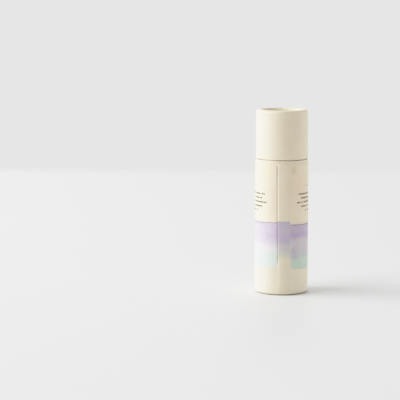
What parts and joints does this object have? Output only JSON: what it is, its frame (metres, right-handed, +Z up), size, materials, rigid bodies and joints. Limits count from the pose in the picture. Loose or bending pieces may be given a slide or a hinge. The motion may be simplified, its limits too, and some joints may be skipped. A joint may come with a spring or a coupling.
{
  "type": "push-up lip balm tube",
  "caption": "Paperboard push-up lip balm tube: a cap slides off a neck, and a disc pushed from below lifts the balm.",
  "frame": {"origin": "centre of the ring on the rolled bottom edge that the tube stands on", "axes": "+Z up the tube's axis towards the cap; -Y is the side where the printed wrap laps over itself"},
  "size_m": [0.0196, 0.0198, 0.0677],
  "materials": {
    "cream_board": "matte",
    "liner_board": "matte",
    "disc_board": "matte",
    "balm": "satin",
    "printed_paper": "matte"
  },
  "bodies": {
    "base": {"base_tube": "cream_board", "inner_tube": "liner_board", "printed_wrap": "printed_paper"},
    "plunger": {"push_disc": "disc_board", "balm_stick": "balm"},
    "cap": {"cap_tube": "cream_board", "cap_disc": "disc_board"}
  },
  "joints": [
    {"name": "push_up", "type": "slide", "parent": "base", "child": "plunger", "axis": [0, 0, 1], "range_m": [0, 0.055]},
    {"name": "cap_off", "type": "slide", "parent": "plunger", "child": "cap", "axis": [0, 0, 1], "range_m": [0, 0.025]}
  ]
}
